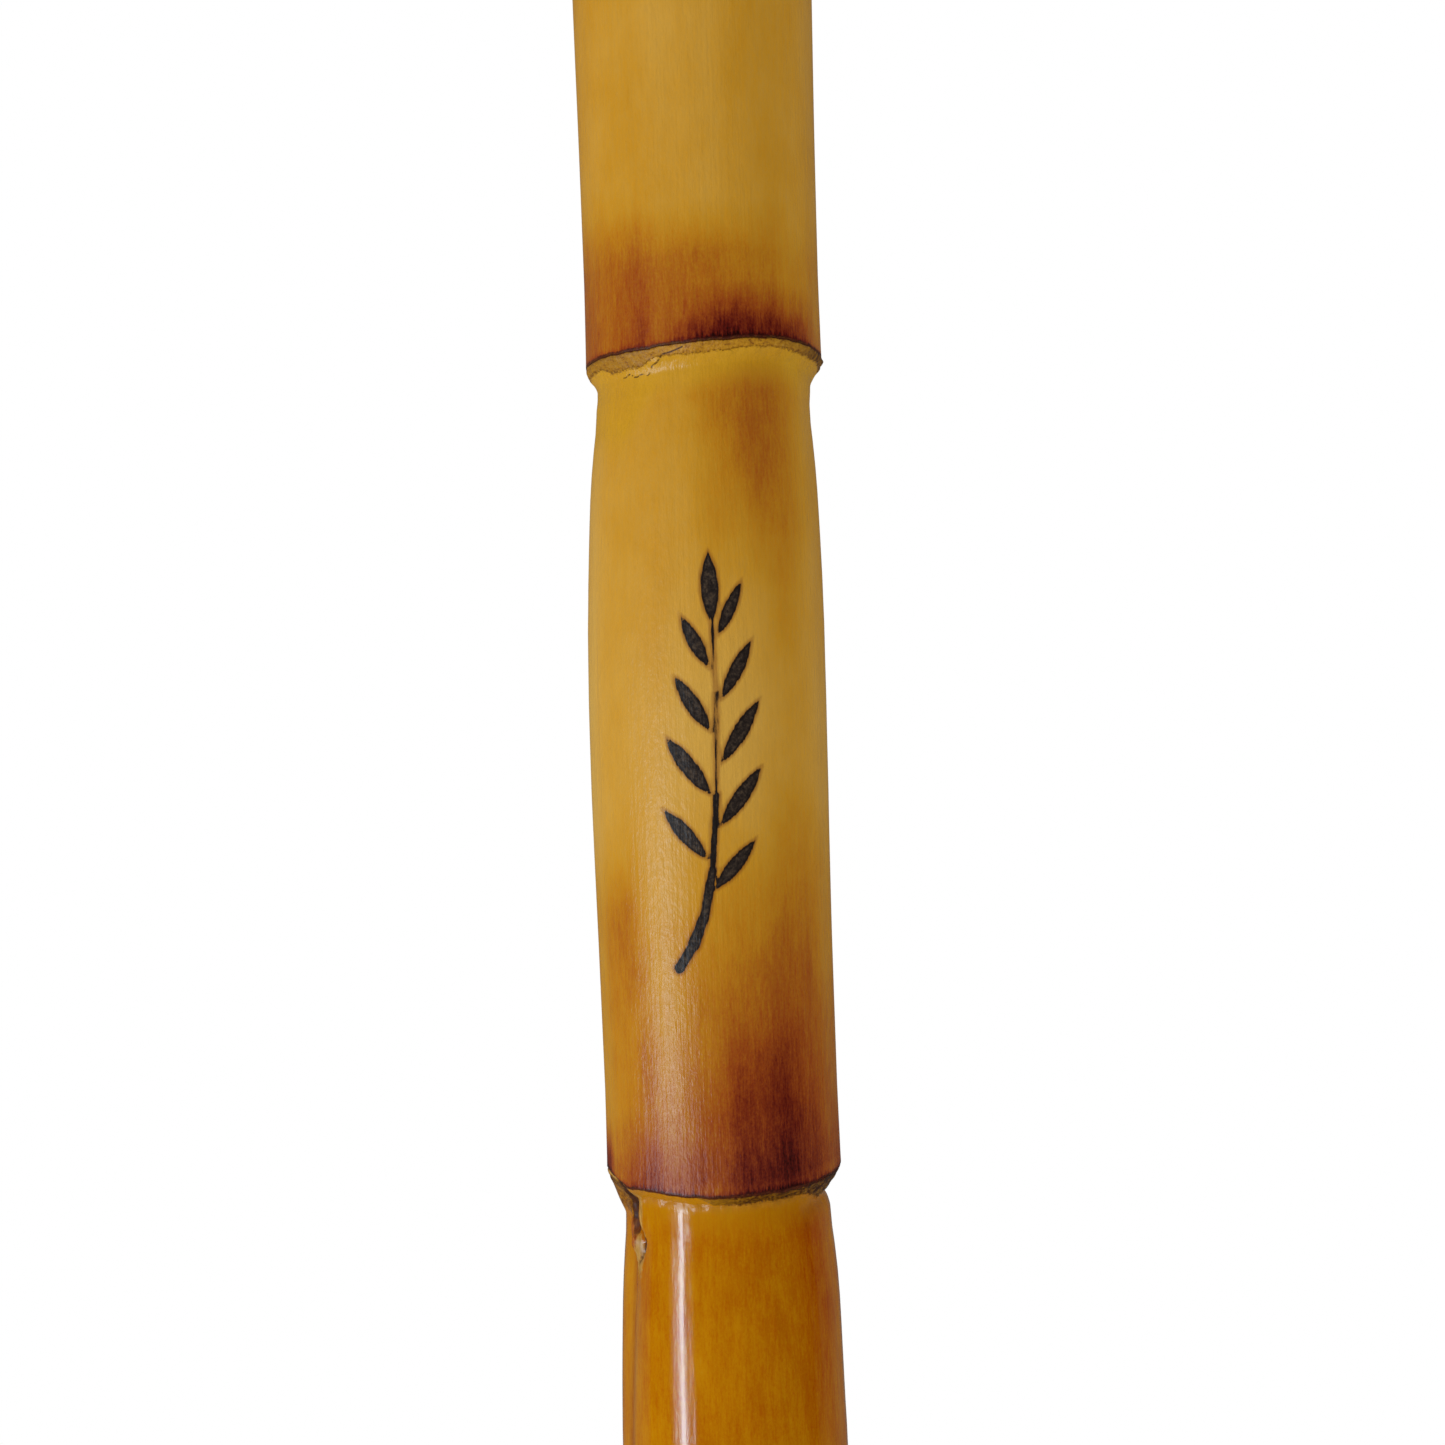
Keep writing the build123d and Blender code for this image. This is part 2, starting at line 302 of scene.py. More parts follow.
def oval(across, u, centre, half_width, half_height):
    """1 at the middle of an oval on the skin, falling smoothly to 0 outside it."""
    off = ((across - centre[0]) / half_width) ** 2 + ((u - centre[1]) / half_height) ** 2
    return np.exp(-off ** 2)


def crevice_width(u):
    """Half the width of a bud's crevice, widest under the rim."""
    return np.interp(u, [0.5, 1.5, 3.0, 5.4], [1.1, 1.1, 0.95, 0.65])


def bud_relief(theta, u, index):
    """The crevice down from the rim, the bud and dry flake in it, and the furrow below."""
    across = bud_across(theta, index)
    furrow = 0.85 * hump(across, 2.6) * smooth(46.0, 8.0, u) * smooth(3.0, 6.0, u)
    line = 0.06 * hump(across, 0.4) * smooth(7.0, 9.0, u) * smooth(44.0, 30.0, u)
    crevice = 0.60 * hump(path_distance(across, u, CREVICE), 0.7 * crevice_width(u))
    lift = 0.16 * hump(path_distance(across - RIDGE_GAP, u, CREVICE), 0.5) * smooth(0.2, 0.8, u)
    lump = 0.80 * oval(across, u, BUD_CENTRE, 1.2, 1.7)
    flake = 0.40 * oval(across, u, FLAKE_CENTRE, 1.1, 2.1)
    under_flake = 0.35 * hump(path_distance(across, u, FLAKE_EDGE), 0.28)
    return lump + flake + lift - furrow - line - crevice - under_flake


def internode_place(z):
    """The internode that each height is in, and how far up it that is, from 0 to 1."""
    k = internode_of(z)
    low, high = np.array(LEVELS)[k], np.array(LEVELS)[k + 1]
    return k, np.clip((z - low) / (high - low), 0, 1)


def axis_offset(z):
    """The natural bow: how far the reed's middle line strays, as (x, y)."""
    k, share = internode_place(z)
    side, fore = np.array(BOWS).T
    strays = np.array([0.0] + NODE_STRAYS + [0.0])
    arch = np.sin(pi * share)
    x = side[k] * arch + strays[k] * (1 - share) ** 3 + strays[k + 1] * share ** 3
    return x, fore[k] * arch


def bore_corners():
    """(height, radius) down the inside, from the top end to the foot."""
    floor = REED_TOP - SOCKET_DEPTH
    corners = [(REED_TOP, SOCKET_R), (floor, SOCKET_R), (floor, CAVITY_R)]
    for node in reversed(NODES):
        hole = THROAT_HOLE_R if node == NODES[-1] else NODE_HOLE_R
        high, low = node + NODE_WALL / 2, node - NODE_WALL / 2
        corners += [(high, CAVITY_R), (high - NODE_EDGE, hole)]
        corners += [(low + NODE_EDGE, hole), (low, CAVITY_R)]
    return corners + [(0.0, CAVITY_R)]


def level_shifts(theta):
    """How far each level that bounds an internode shifts: none at the foot and the top end."""
    flat = np.zeros_like(theta)
    return [flat] + [lip_shift(theta, k) for k in range(len(NODES))] + [flat]


def reed_grid():
    """Points of the whole closed skin: up the outside, then down the inside."""
    theta = columns()
    heights = row_heights()
    t, z = np.meshgrid(theta, heights)
    radius = skin_radius(t, z)
    shifted = z.copy()
    shifts = np.array(level_shifts(theta))
    for column in range(len(theta)):
        shifted[:, column] += np.interp(heights, LEVELS, shifts[:, column])
    dx, dy = axis_offset(z)
    outside = np.stack([radius * np.sin(t) + dx, -radius * np.cos(t) + dy, shifted], -1)
    inside = np.array([ring(r, theta - pi / 2, height) for height, r in bore_corners()])
    return np.concatenate([outside, inside], 0)


def grid_faces(rows, cols, closed=False):
    """Quads of a grid whose rows are rings. Its last ring meets its first if it is closed."""
    faces = []
    for j in range(rows if closed else rows - 1):
        k = (j + 1) % rows
        for i in range(cols):
            n = (i + 1) % cols
            faces.append((j * cols + i, j * cols + n, k * cols + n, k * cols + i))
    return faces


def capped_faces(rows, cols):
    """The quads of an open grid, and a flat face over each of its ends."""
    last = (rows - 1) * cols
    caps = [tuple(reversed(range(cols))), tuple(range(last, last + cols))]
    return grid_faces(rows, cols) + caps


def new_object(name, points, faces):
    mesh = bpy.data.meshes.new(name)
    mesh.from_pydata([tuple(p) for p in points * MM], [], faces)
    mesh.validate()
    obj = bpy.data.objects.new(name, mesh)
    scene.collection.objects.link(obj)
    return obj


def lathe(profile_points, segments=96):
    """Vertices and faces of a closed solid turned about +Z from (radius, height) corners."""
    angles = np.linspace(0, 2 * pi, segments, endpoint=False)
    rings = [ring(r, angles, height) for r, height in profile_points]
    return np.concatenate(rings, 0), capped_faces(len(rings), segments)


def hole_height(part):
    return part * OVERALL / SPEAKING_PARTS


def cut_holes(reed):
    """Bores the finger holes and the thumb hole, each with a slightly eased mouth."""
    cutters = []
    for part, angle in HOLE_PARTS:
        skin = float(profile(np.array([hole_height(part)]))[0])
        corners = [(FINGER_HOLE_R, HOLE_START)]
        corners += [(FINGER_HOLE_R + wider, skin - depth) for wider, depth in HOLE_MOUTH]
        points, faces = lathe(corners)
        turn = Matrix.Rotation(radians(angle), 4, "Z") @ Matrix.Rotation(radians(90), 4, "X")
        place = Matrix.Translation((0, 0, hole_height(part) * MM)) @ turn
        cutter = new_object(f"cutter_{part}", points, faces)
        cutter.data.transform(place)
        cutters.append(cutter)
        cut = reed.modifiers.new("hole", "BOOLEAN")
        cut.operation = "DIFFERENCE"
        cut.solver = "MANIFOLD"
        cut.object = cutter
    bpy.context.view_layer.update()
    evaluated = reed.evaluated_get(bpy.context.evaluated_depsgraph_get())
    cut_mesh = bpy.data.meshes.new_from_object(evaluated)
    reed.modifiers.clear()
    reed.data = cut_mesh
    for cutter in cutters:
        bpy.data.objects.remove(cutter)


def make_reed():
    grid = reed_grid()
    rows, cols = grid.shape[:2]
    reed = new_object("reed_skin", grid.reshape(-1, 3), grid_faces(rows, cols, closed=True))
    cut_holes(reed)
    reed.data.shade_smooth()
    reed.data.set_sharp_from_angle(angle=radians(SHARP_BEND))
    return reed


# ---------------------------------------------------------------- what the flame and the maker left
def skin_coordinates(points):
    """(angle, nominal height, radius) of points on the finished reed, in millimetres."""
    z = points[:, 2]
    each = np.arange(len(points))
    for _ in range(3):
        dx, dy = axis_offset(z)
        theta = np.arctan2(points[:, 0] - dx, -(points[:, 1] - dy))
        shifts = np.array(level_shifts(theta))
        k, share = internode_place(z)
        z = points[:, 2] - shifts[k, each] * (1 - share) - shifts[k + 1, each] * share
    dx, dy = axis_offset(z)
    radius = np.hypot(points[:, 0] - dx, points[:, 1] - dy)
    return theta, z, radius


def rim_distance(z):
    """Height over the nearest rim, negative under it, at most 20 either way."""
    nearest = np.full_like(z, 20.0)
    for node in NODES:
        nearest = np.where(np.abs(z - node) < np.abs(nearest), z - node, nearest)
    return nearest


def patch(theta, z, centre_angle, centre_z, width, height):
    """A soft oval on the skin, 1 at its centre. width is in degrees."""
    off = around(theta, centre_angle) / width
    return np.exp(-off ** 2 - ((z - centre_z) / height) ** 2)


def sector(theta, low, high, soft=8.0):
    """1 between two angles on the reed, fading out over soft degrees."""
    centre = (low + high) / 2
    off = np.abs(around(theta, centre))
    half = (high - low) / 2
    return smooth(half + soft, half - soft, off)


BASE_TOAST = [0.40, 0.34, 0.42, 0.33, 0.36, 0.53, 0.26, 0.30, 0.40]  # each internode, foot upwards


def base_tint(theta, index):
    """How much browner or paler than its own average each side of a close-up internode is."""
    if index == 7:
        return 0.06 * sector(theta, -95, -24, 8) + 0.06 * sector(theta, 15, 95, 10)
    if index == 6:
        pale_edge = -0.10 * sector(theta, -110, -64, 6)
        return pale_edge + 0.04 * sector(theta, -56, -18, 6) + 0.09 * sector(theta, 30, 54, 12)
    if index == 5:
        tint = 0.02 * sector(theta, 8, 120, 10) + 0.06 * sector(theta, 40, 66, 8)
        return tint - 0.03 * sector(theta, -100, -62, 8)
    return np.zeros_like(theta)


LOWER_RIM_TOUCHES = [  # amount, where it ends and is full over the rim, edges of the part, softness
    (-0.12, 2.6, 0.5, -16, 10, 6),
    (0.07, 6.0, 2.0, -50, -8, 8),
    (-0.10, 2.2, 0.6, 10, 75, 8),
    (0.34, 5.0, 1.0, -110, -69, 6),
]


def toast_over(theta, over, index, wide):
    """Browning added on the skin just over a node's rim."""
    angle = np.degrees(theta)
    if index == 6:
        band = 0.28 - 0.10 * sector(theta, 14, 130, 8) - 0.09 * sector(theta, 42, 130, 8)
        band = band - 0.03 * sector(theta, -24, 14, 8) - 0.03 * sector(theta, -110, -40, 8)
        dark = 0.36 * smooth(-30, 8, angle) * (1 - 0.75 * smooth(46, 76, angle))
        dark += 0.12 * sector(theta, -34, -26, 5)
        left = sector(theta, -100, -20, 12)
        licks = over - 0.3 * ripple(theta, over, SEED + 140, 60, 5.0, 40)
        return band * smooth(15.0 + 1.5 * left, 7.0, over) + dark * smooth(5.2, 0.2, licks)
    if index == 5:
        far_left = sector(theta, -110, -38, 8)
        near_left = sector(theta, -34, -16, 8) * (1 - far_left)
        rise = np.clip(1.0 - over / 41.0, 0, 1)
        plateau = 0.24 * smooth(38.0, 26.0, over) + 0.05 * smooth(10.0, 4.0, over)
        stepped = 0.09 * smooth(34.0, 26.0, over) + 0.19 * smooth(25.0, 6.0, over)
        height = 0.46 + 0.16 * sector(theta, 4, 38, 8) - 0.06 * sector(theta, 60, 130, 10)
        climb = plateau * far_left + stepped * near_left
        climb += height * rise * np.clip(1 - far_left - near_left, 0, 1)
        left = 0.04 * smooth(4.0, 9.0, over) * smooth(24.0, 16.0, over) * sector(theta, -60, -10, 10)
        right = 0.04 * smooth(14.0, 22.0, over) * smooth(42.0, 34.0, over) * sector(theta, 42, 100, 10)
        rim = 0.05 * smooth(4.0, 1.0, over) - left + right
        for amount, high, low, *part in LOWER_RIM_TOUCHES:
            rim += amount * smooth(high, low, over) * sector(theta, *part)
        return climb + rim
    reach = 10.0 + 9.0 * wide
    strength = 0.24 + 0.16 * wide
    return strength * smooth(reach + 3.0, 2.0, over) + (0.05 + 0.16 * wide) * smooth(4.5, 0.5, over)


def toast_under(theta, under, index, wide):
    """Browning added below the yellow band that each scar's sheath left."""
    if index == 6:
        right = sector(theta, 8, 38, 28)
        middle = sector(theta, -22, 90, 16)
        faded = smooth(27.0, 6.0, under)
        amount = (0.05 + 0.06 * middle) * smooth(38.0, 14.0, under) + 0.25 * right * faded
        amount -= 0.03 * sector(theta, 50, 100, 10) * faded
        return amount * smooth(0.5, 3.5 + 2.5 * sector(theta, -100, 0, 16), under)
    if index == 5:
        return 0.04 * smooth(10.0, 1.0, under)
    return 0.20 * wide * smooth(3.0, 8.0, under) * smooth(26.0, 9.0, under)


def toast_field(theta, z):
    """How far the flame has browned the skin: 0 raw straw, 1 charred."""
    internode = internode_of(z)
    toast = np.array(BASE_TOAST)[internode] + 0.012 * ripple(theta, z, SEED + 70, 4, 45.0)
    wide = np.clip(0.5 + 0.4 * ripple(theta, z, SEED + 71, 5, 30.0), 0, 1)
    for k in (5, 6, 7):
        toast += (internode == k) * base_tint(theta, k)
    for k, node in enumerate(NODES):
        above = (z >= node - 0.02) & (z < node + 60)
        below = (z < node - 0.02) & (z > node - 60)
        toast += above * toast_over(theta, np.clip(z - node, 0, 60), k, wide)
        toast += below * toast_under(theta, np.clip(node - z, 0, 60), k, wide)
    toast -= 0.07 * patch(theta, z, -8, 548.0, 35, 9.0)
    for part, angle in HOLE_PARTS:
        gap = np.clip(hole_distance(theta, z, part, angle), 0, None)
        toast += 0.42 * np.exp(-gap / 0.9) + 0.12 * np.exp(-gap / 4.0)
    toast += 0.20 * smooth(19.0, 14.0, z) + 0.18 * smooth(UPPER_SEAT[0] - 6.0, UPPER_SEAT[0], z)
    return np.clip(toast, 0.0, 1.0)


def hole_distance(theta, z, part, angle):
    """Distance over the skin from the edge of a finger hole."""
    sideways = np.radians(around(theta, angle)) * SKIN_R
    return np.hypot(sideways, z - hole_height(part)) - FINGER_HOLE_R


def scar_drop(theta, index):
    """Width of the bare scar under a node's rim."""
    across = bud_across(theta, index)
    by_bud = smooth(3.0, 1.6, across) * smooth(-9.0, -7.0, across)
    drop = 1.10 + 0.10 * ripple(theta, 0.0, SEED + 90 + index, 9, 1.0)
    if index == 6:
        drop += 0.75 * sector(theta, -58, -29, 5)
    elif index == 5:
        drop = drop - 0.95 * sector(theta, -60, -10, 6) + 0.1 * sector(theta, -4, 42, 6)
        drop += 1.3 * sector(theta, 56, 120, 8)
    else:
        drop += 0.45 * ripple(theta, 0.0, SEED + 91 + index, 4, 1.0)
    return np.clip(drop + 0.5 * by_bud, 0.12, 2.8)


def scar_share(theta, z):
    """Distance under a rim as a share of the scar's width: 0 at the rim, 1 at its torn edge."""
    share = np.full_like(z, 4.0)
    for k, node in enumerate(NODES):
        here = (node - z > -0.03) & (node - z < 12.0)
        share = np.where(here, (node - z) / scar_drop(theta, k), share)
    return np.clip(share, 0.0, 4.0)


def stain_and_lip_shadow_field(theta, z):
    """How brown each scar is: a stain, most of all on one side of it, and on node 5's right-hand side
    also painted shadow under the lip.
    """
    stain = np.zeros_like(z)
    angle = np.degrees(theta)
    for k, node in enumerate(NODES):
        here = (node - z > -1.0) & (node - z < 4.0)
        if k == 6:
            amount = 0.22 * sector(theta, -95, -25, 10)
            amount += 0.25 * smooth(30, 50, angle) + 0.45 * smooth(48, 70, angle)
        # Node 5: darker on its right-hand side, which is painted shadow under the lip there.
        elif k == 5:
            amount = 0.40 + 0.50 * smooth(-5, 12, angle)
        else:
            amount = 0.30 + 0.25 * ripple(theta, 0.0, SEED + 95 + k, 3, 1.0)
        stain = np.where(here, amount, stain)
    return np.clip(stain, 0.0, 0.9)


def fresh_field(theta, z):
    """The band of yellow skin under each scar that the old sheath kept from the flame."""
    fresh = np.zeros_like(z)
    for k, node in enumerate(NODES):
        under = node - z
        reach = 5.0 + 1.3 * ripple(theta, 0.0, SEED + 110 + k, 6, 1.0)
        if k == 5:
            band = 0.5 * smooth(6.0, 1.0, under)
        elif k == 6:
            reach = 3.6 + 5.0 * sector(theta, -100, -34, 12)
            band = smooth(reach + 2.0, reach - 1.5, under)
        else:
            band = smooth(reach + 2.5, reach - 2.0, under)
        fresh = np.maximum(fresh, band * (under > 0))
    return fresh


def leaf_distance(x, y, foot, tip, half_width):
    """Signed distance to a lens-shaped leaf, negative inside."""
    spine = complex(*tip) - complex(*foot)
    middle = complex(*foot) + spine / 2
    place = (x + 1j * y - middle) * spine.conjugate() / abs(spine)
    bend = (abs(spine) ** 2 / 4 - half_width ** 2) / (2 * half_width)
    return np.maximum(np.abs(place - 1j * bend), np.abs(place + 1j * bend)) - bend - half_width


STEM = [(-3.6, 523.8), (-2.0, 526.2), (-0.8, 529.2), (0.1, 533.5),
        (0.7, 541.0), (0.9, 551.0), (0.6, 558.5)]  # over the skin from the front, and height
LEAVES = 9
FIRST_LEAF = 531.5
LEAF_STEP = 3.15
LEAF_LENGTH = 7.4
LEAF_HALF_WIDTH = 0.85
LEAF_RISE = 47.0  # degrees above level
TOP_LEAF_HALF_WIDTH = 0.9


def motif_distance(theta, z):
    """Signed distance to the burnt sprig: a stem with leaves left and right in turn."""
    x = theta * MOTIF_SKIN_R
    distance = np.full_like(z, 3.0)
    for number, (a, b) in enumerate(zip(STEM, STEM[1:])):
        d, share = segment_distance(x, z, a, b)
        half = 0.34 + 0.28 * sin(0.9 + number * 0.8) * (1 - 0.4 * share)
        distance = np.minimum(distance, d - half)
    stem_x, stem_z = zip(*STEM)
    for number in range(LEAVES):
        side = -1 if number % 2 else 1
        foot_z = FIRST_LEAF + LEAF_STEP * number
        foot = (float(np.interp(foot_z, stem_z, stem_x)) + side * 0.5, foot_z)
        size = 1.0 - 0.045 * abs(number - 3)
        rise = radians(LEAF_RISE + 2.2 * number)
        length = LEAF_LENGTH * size
        tip = (foot[0] + side * length * cos(rise), foot[1] + length * sin(rise))
        distance = np.minimum(distance, leaf_distance(x, z, foot, tip, LEAF_HALF_WIDTH * size))
    top_x, top_z = STEM[-1]
    foot, tip = (top_x, top_z - 0.6), (top_x - 0.3, top_z + 6.6)
    distance = np.minimum(distance, leaf_distance(x, z, foot, tip, TOP_LEAF_HALF_WIDTH))
    return np.clip(distance, -2.0, 3.0)


# Over the skin from the front, and under the rim of node 6.
CRACK = [(-9.6, 2.5), (-8.4, 2.2), (-7.6, 2.7), (-6.9, 2.35), (-6.0, 2.6),
         (-5.4, 1.7), (-4.7, 1.55), (-3.9, 0.9), (-2.8, 0.75), (-1.9, 0.45)]


def crack_distance(theta, z):
    """Distance to the hairline where the scar's edge has lifted, on the upper close-up node."""
    return np.minimum(path_distance(theta * SKIN_R, NODES[6] - z, CRACK), 3.0)


def bare_field(z, radius):
    """1 on the unvarnished inside: the bore and the walls of the finger holes."""
    skin = profile(np.clip(z, 0.5, REED_TOP - 0.5))
    return smooth(0.9, 1.6, skin - radius)


def store(mesh, name, values):
    attribute = mesh.attributes.new(name, "FLOAT", "POINT")
    attribute.data.foreach_set("value", values.astype(np.float32))


def paint_reed(reed):
    """Works out each field at each vertex. The material turns the fields into colour and gloss."""
    count = len(reed.data.vertices)
    co = np.empty(count * 3)
    reed.data.vertices.foreach_get("co", co)
    theta, z, radius = skin_coordinates(co.reshape(-1, 3) / MM)
    rim = rim_distance(z)
    fields = {
        "toast": toast_field(theta, z),
        "fresh": fresh_field(theta, z),
        "rim": rim,
        "by_rim": smooth(6.0, 3.0, np.abs(rim)),
        "scar_share": scar_share(theta, z),
        # the scars' stain, with painted shadow under the lip on node 5's right-hand side
        "stain": stain_and_lip_shadow_field(theta, z),
        "ink": motif_distance(theta, z),
        "crack": crack_distance(theta, z),
        "bare": bare_field(z, radius),
        **bud_fields(theta, z),
        "gloss": gloss_field(theta, z),
    }
    for name, values in fields.items():
        store(reed.data, name, values)


def bud_fields(theta, z):
    """The dark crevices with painted shadow over the hollow beside each, the red buds, the pale flakes
    and the stain down each furrow.
    """
    fields = {name: np.zeros_like(z) for name in ("crevice", "bud", "flake", "furrow")}
    for k, node in enumerate(NODES):
        u = node - z
        near = (u > 0) & (u < FURROW_REACH)
        across = bud_across(theta, k)
        edge = hump(path_distance(across, u, FLAKE_EDGE), 0.3)
        dark = np.exp(-(path_distance(across, u, CREVICE) / crevice_width(u)) ** 4)
        # Painted shadow: the hollow beside each crevice, under the rim, is darkened as part of the
        # crevice.
        painted_hollow_shadow = smooth(1.4, 0.6, across) * smooth(-5.0, -3.0, across)
        painted_hollow_shadow *= smooth(0.5, 0.9, u) * smooth(5.4, 3.8, u)
        dark = np.maximum(dark, 0.55 * painted_hollow_shadow)
        bud = oval(across, u, BUD_CENTRE, 1.25, 1.75)
        flake = oval(across, u, FLAKE_CENTRE, 1.2, 2.3)
        ridge = hump(path_distance(across - RIDGE_GAP, u, CREVICE), 0.42) * smooth(0.3, 1.0, u)
        torn = hump(u - 0.38, 0.24) * smooth(2.8, 2.0, across) * smooth(-7.0, -4.0, across)
        pale = np.maximum(np.maximum(flake, 0.75 * ridge), 1.2 * torn)
        line = hump(across, 0.7) * smooth(6.5, 9.0, u) * smooth(47.0, 36.0, u)
        found = {"crevice": np.maximum(dark, 0.8 * edge), "bud": bud, "flake": pale, "furrow": line}
        for name, value in found.items():
            fields[name] = np.maximum(fields[name], near * value)
    return fields


def gloss_field(theta, z):
    """1 where the varnish lies smooth and deep, 0 or less where the flame pebbled the skin."""
    gloss = 0.55 + 0.2 * ripple(theta, z, SEED + 130, 2, 60.0)
    gloss = np.where((z > NODES[4]) & (z < NODES[5] - 0.01), 0.92, gloss)
    gloss = np.where((z > NODES[5] - 0.01) & (z < NODES[6] + 40), 0.12, gloss)
    for node in NODES:
        under = node - z
        gloss *= 1 - 0.8 * smooth(2.4, 1.4, under) * (under > 0)
    over = z - NODES[5]
    gloss -= 0.3 * smooth(9.0, 2.0, over) * (over > 0)
    return np.clip(gloss, -0.3, 1.0)


# ---------------------------------------------------------------- material building blocks
def colour(hexcode):
    """Linear RGBA of an sRGB hex colour."""
    parts = [int(hexcode[i:i + 2], 16) / 255 for i in (0, 2, 4)]
    linear = [c / 12.92 if c <= 0.04045 else ((c + 0.055) / 1.055) ** 2.4 for c in parts]
    return (*linear, 1.0)


class Graph:
    """A short way to write a material's or a world's nodes. Inputs may be sockets or values."""

    def __init__(self, owner):
        owner.use_nodes = True
        self.owner = owner
        self.tree = owner.node_tree
        self.tree.nodes.clear()

    def add(self, kind, inputs=None, **settings):
        made = self.tree.nodes.new("ShaderNode" + kind)
        for key, value in settings.items():
            setattr(made, key, value)
        for key, value in (inputs or {}).items():
            if isinstance(value, bpy.types.NodeSocket):
                self.tree.links.new(value, made.inputs[key])
            else:
                made.inputs[key].default_value = value
        return made

    def math(self, operation, a, b=0.0, c=0.0, clamp=False):
        made = self.add("Math", {0: a, 1: b, 2: c}, operation=operation, use_clamp=clamp)
        return made.outputs[0]

    def times(self, a, b, clamp=False):
        return self.math("MULTIPLY", a, b, clamp=clamp)

    def plus(self, a, b):
        return self.math("ADD", a, b)

    def minus(self, a, b):
        return self.math("SUBTRACT", a, b)

    def larger(self, a, b):
        return self.math("MAXIMUM", a, b)

    def linear(self, value, slope, start):
        """value times slope, plus start."""
        return self.math("MULTIPLY_ADD", value, slope, start)

    def attribute(self, name):
        return self.add("Attribute", attribute_name=name).outputs["Fac"]

    def ragged(self, name, noise, reach):
        """A stored field, shifted up and down by a noise."""
        return self.plus(self.attribute(name), self.spread(noise, -reach, reach))

    def millimetres(self, scale=(1, 1, 1)):
        """Object coordinates in millimetres, stretched by scale."""
        place = self.add("TexCoord").outputs["Object"]
        factors = tuple(1000.0 * s for s in scale)
        return self.add("VectorMath", {0: place, 1: factors}, operation="MULTIPLY").outputs[0]

    def noise(self, place, detail=3.0, roughness=0.5):
        """Noise at a place, or over the object with a number of waves per millimetre each way."""
        vector = self.millimetres(place) if isinstance(place, tuple) else place
        inputs = {"Vector": vector, "Scale": 1.0, "Detail": detail, "Roughness": roughness}
        return self.add("TexNoise", inputs).outputs["Fac"]

    def map_range(self, kind, value, low, high, at_low, at_high):
        inputs = {"Value": value, "From Min": low, "From Max": high}
        inputs.update({"To Min": at_low, "To Max": at_high})
        return self.add("MapRange", inputs, interpolation_type=kind).outputs[0]

    def step(self, value, low, high, at_low=0.0, at_high=1.0):
        """at_low below low and at_high above high, smooth between. low may be above high."""
        return self.map_range("SMOOTHSTEP", value, low, high, at_low, at_high)

    def spread(self, value, low, high):
        """A 0 to 1 noise stretched to low to high."""
        return self.map_range("LINEAR", value, 0.25, 0.75, low, high)

    def choose(self, factor, a, b):
        """The number a where the factor is 0, and b where it is 1."""
        return self.add("Mix", {0: factor, 2: a, 3: b}, data_type="FLOAT").outputs[0]

    def mix(self, factor, a, b, blend="MIX"):
        inputs = {0: factor, 6: a, 7: b}
        return self.add("Mix", inputs, data_type="RGBA", blend_type=blend).outputs[2]

    def ramp(self, value, stops):
        """A colour ramp. Its colours are sRGB hex codes or linear RGBA."""
        made = self.add("ValToRGB", {"Fac": value})
        elements = made.color_ramp.elements
        while len(elements) < len(stops):
            elements.new(0.5)
        for element, (place, code) in zip(elements, stops):
            element.position = place
            element.color = colour(code) if isinstance(code, str) else code
        return made.outputs["Color"]

    def bump(self, height, distance, strength=1.0, normal=None):
        inputs = {"Height": height, "Distance": distance * MM, "Strength": strength}
        if normal is not None:
            inputs["Normal"] = normal
        return self.add("Bump", inputs).outputs["Normal"]

    def surface(self, **inputs):
        named = {key.replace("_", " "): value for key, value in inputs.items()}
        shader = self.add("BsdfPrincipled", named)
        self.add("OutputMaterial", {"Surface": shader.outputs[0]})
        return self.owner


def new_graph(name):
    return Graph(bpy.data.materials.new(name))


TOAST_COLOURS = [
    (0.00, "dcb354"), (0.20, "d6a440"), (0.28, "d39e34"), (0.38, "cc921a"),
    (0.48, "c28003"), (0.58, "b06400"), (0.68, "9f4800"), (0.78, "832d00"),
    (0.88, "641000"), (0.95, "480600"), (1.00, "2c0200"),
]
SCAR_COLOURS = [
    (0.26, "744402"), (0.38, "a66e02"), (0.50, "bc8405"),
    (0.62, "c48c12"), (0.74, "cf9f3c"), (0.84, "ecd49c"),
]


def toasted_skin(g, fibre, grain, cloud):
    """Skin colour from the flame's browning, broken up by the fibres that took it unevenly."""
    toast = g.attribute("toast")
    strand = g.noise((1.5, 1.5, 0.22), roughness=0.6)
    browned = g.linear(g.spread(cloud, -0.5, 0.5), 0.09, toast)
    for noise, growth, start in ((fibre, 0.26, -0.03), (grain, 0.16, 0.01), (strand, 0.10, 0.0)):
        browned = g.linear(g.spread(noise, -0.5, 0.5), g.linear(toast, growth, start), browned)
    rim = g.attribute("rim")
    reach = g.linear(g.spread(fibre, 0.0, 1.0), 1.1, 0.15)
    charred = g.times(g.step(rim, reach, 0.0), g.step(rim, -0.3, 0.0))
    charred = g.times(charred, g.attribute("by_rim"))
    browned = g.linear(charred, g.linear(toast, 0.14, 0.02), browned)
    return g.ramp(browned, TOAST_COLOURS)


